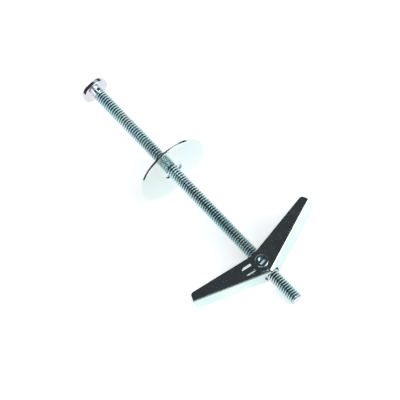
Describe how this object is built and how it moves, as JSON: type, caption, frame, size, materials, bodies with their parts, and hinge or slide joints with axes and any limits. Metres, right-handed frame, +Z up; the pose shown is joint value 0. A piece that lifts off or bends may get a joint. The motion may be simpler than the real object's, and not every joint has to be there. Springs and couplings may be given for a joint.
{
  "type": "spring toggle bolt",
  "caption": "Long domed-head machine screw with a loose flat washer and a trunnion nut whose two nested sheet wings are sprung open.",
  "frame": {"origin": "on the surface that it lies on, under the middle of its length", "axes": "+X along the lying screw from its head to its tip, +Z up"},
  "size_m": [0.1154, 0.0547, 0.0277],
  "materials": {
    "zinc_screw": "bright blue-passivated zinc plate over a rolled thread",
    "zinc_washer": "bright zinc plate, near mirror flat",
    "zinc_nut": "bright zinc plate",
    "zinc_sheet": "bright zinc plated sheet with fine scratches",
    "spring_wire": "bright spring wire"
  },
  "bodies": {
    "screw": {"screw": "zinc_screw"},
    "washer": {"washer": "zinc_washer"},
    "nut": {"trunnion_nut": "zinc_nut", "spring": "spring_wire"},
    "outer_wing": {"outer_wing": "zinc_sheet"},
    "inner_wing": {"inner_wing": "zinc_sheet"}
  },
  "joints": [
    {"name": "washer_slide", "type": "slide", "parent": "screw", "child": "washer", "axis": [0.9897, 0, -0.1429], "range_m": [-0.0436, 0.0085]},
    {"name": "toggle_travel", "type": "slide", "parent": "screw", "child": "nut", "axis": [0.9897, 0, -0.1429], "range_m": [-0.0135, 0.0145]},
    {"name": "outer_wing_fold", "type": "hinge", "parent": "nut", "child": "outer_wing", "pos_m": [0.03951, 0, 0.00519], "axis": [0.1426, 0.0627, 0.9878], "range_deg": [0, 68], "stiffness_Nm_per_rad": 0.015, "springref_deg": -28.65, "deforming": ["spring"]},
    {"name": "inner_wing_fold", "type": "hinge", "parent": "nut", "child": "inner_wing", "pos_m": [0.03951, 0, 0.00519], "axis": [-0.1426, -0.0627, -0.9878], "range_deg": [0, 68], "stiffness_Nm_per_rad": 0.015, "springref_deg": -28.65, "deforming": ["spring"]}
  ]
}
